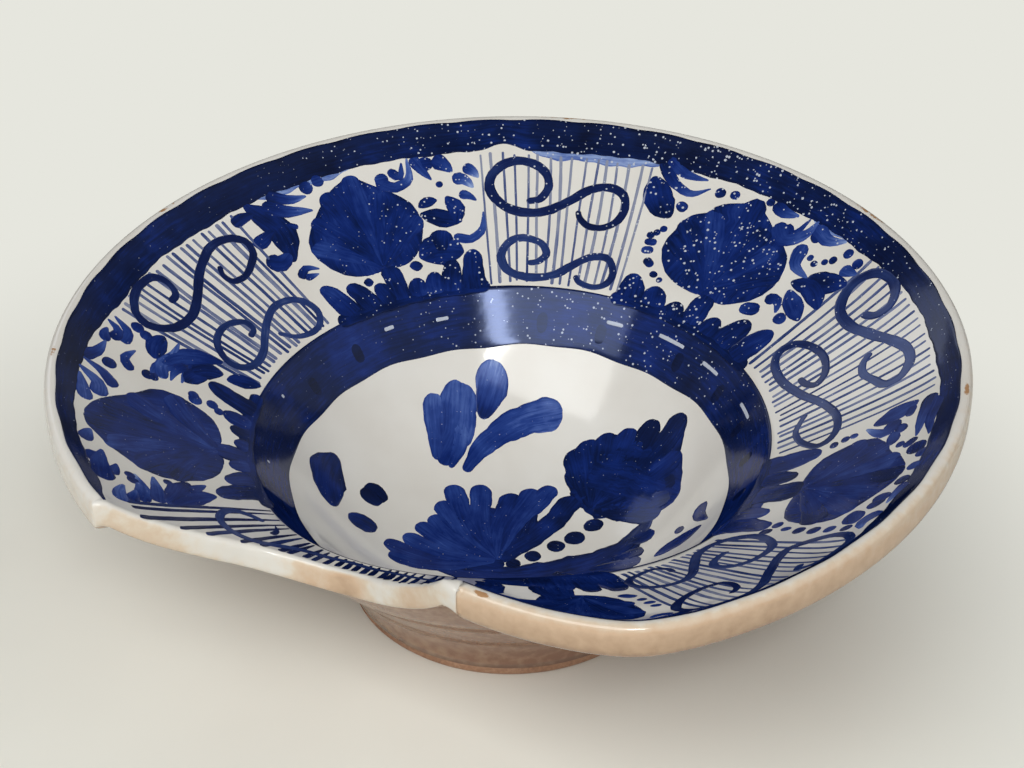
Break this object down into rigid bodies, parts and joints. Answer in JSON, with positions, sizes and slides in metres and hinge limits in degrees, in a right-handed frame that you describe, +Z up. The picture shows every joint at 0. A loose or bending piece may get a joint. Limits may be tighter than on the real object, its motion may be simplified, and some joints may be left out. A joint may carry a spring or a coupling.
{
  "type": "barber bowl",
  "caption": "Wide shallow shaving basin with a deep round well, sloping brim, rounded lip and a neck notch, white glazed with blue painted bands and panels.",
  "frame": {"origin": "middle of the flat base, on the table", "axes": "+Z up along the bowl's axis, the neck notch faces -Y, +X to the right for someone facing the notch"},
  "size_m": [0.3, 0.2865, 0.0965],
  "materials": {
    "earthenware": "bare fired clay, matt",
    "tin_glaze": "glossy opaque white tin glaze",
    "cobalt_paint": "brushed cobalt blue melted into the glaze, glossy",
    "thin_cobalt_paint": "thin cobalt brush lines melted into the glaze, glossy"
  },
  "bodies": {
    "root": {"clay_body": "earthenware", "tin_glaze": "tin_glaze", "rim_band": "cobalt_paint", "well_band": "cobalt_paint", "well_spray": "cobalt_paint", "hatched_panel_1": "thin_cobalt_paint", "hatched_panel_2": "thin_cobalt_paint", "hatched_panel_3": "thin_cobalt_paint", "hatched_panel_4": "thin_cobalt_paint", "hatched_panel_5": "thin_cobalt_paint", "flower_panel_1": "cobalt_paint", "flower_panel_2": "cobalt_paint", "flower_panel_3": "cobalt_paint", "flower_panel_4": "cobalt_paint", "flower_panel_5": "cobalt_paint"}
  },
  "joints": []
}
